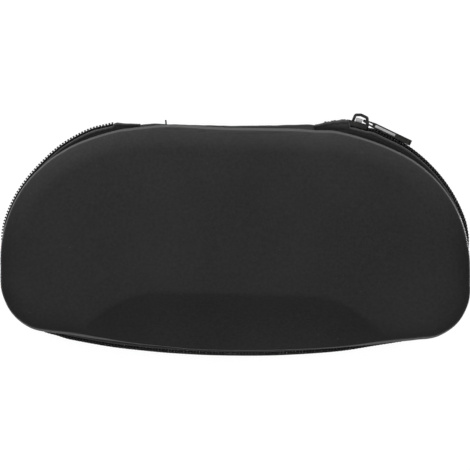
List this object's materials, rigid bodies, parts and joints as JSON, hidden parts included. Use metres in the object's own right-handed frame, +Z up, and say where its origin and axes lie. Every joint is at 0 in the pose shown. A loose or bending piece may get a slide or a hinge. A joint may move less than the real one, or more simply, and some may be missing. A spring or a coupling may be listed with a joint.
{
  "type": "zippered hard eyewear case",
  "caption": "Moulded fabric-covered hard case with a scooped front, sewn hinge and coil zip, for lighted magnifier glasses.",
  "frame": {"origin": "centre of the flat underside", "axes": "+X to the right, +Y to the hinge, +Z up"},
  "size_m": [0.1808, 0.094, 0.064],
  "materials": {
    "cover": "matt woven, black",
    "foam": "matt moulded foam, black",
    "lining": "brushed knit, black",
    "tape": "twill tape, black",
    "coil": "nylon filament, black",
    "binding": "ribbed binding, black",
    "thread": "close stitching, black",
    "metal": "black-nickelled, satin on the tab's face"
  },
  "bodies": {
    "base": {"lower_cover": "cover", "lower_shell": "foam", "lower_lining": "lining", "lower_zip_tape": "tape", "lower_zip_coil": "coil", "lower_binding": "binding", "hinge_strip": "tape", "hinge_lining": "lining", "right_bar_tack": "thread", "left_bar_tack": "thread"},
    "lid": {"upper_cover": "cover", "upper_shell": "foam", "upper_lining": "lining", "upper_zip_tape": "tape", "upper_zip_coil": "coil", "upper_binding": "binding"},
    "slider": {"slider_body": "metal", "slider_crown": "metal"},
    "tab": {"pull_tab": "metal"}
  },
  "joints": [
    {"name": "lid_hinge", "type": "hinge", "parent": "base", "child": "lid", "pos_m": [0, 0.0434, 0.032], "axis": [-1, 0, 0], "range_deg": [0, 80], "deforming": ["upper_zip_tape", "upper_zip_coil", "hinge_strip", "hinge_lining"]},
    {"name": "slider_travel", "type": "hinge", "parent": "base", "child": "slider", "pos_m": [0.0335, -0.012, 0.032], "axis": [0, 0, -1], "range_deg": [-8, 56], "deforming": ["lower_zip_tape", "lower_zip_coil", "upper_zip_tape", "upper_zip_coil"]},
    {"name": "pull_tab_swing", "type": "hinge", "parent": "slider", "child": "tab", "pos_m": [0.04945, 0.04679, 0.032], "axis": [0, 0, 1], "range_deg": [0, 160]}
  ]
}
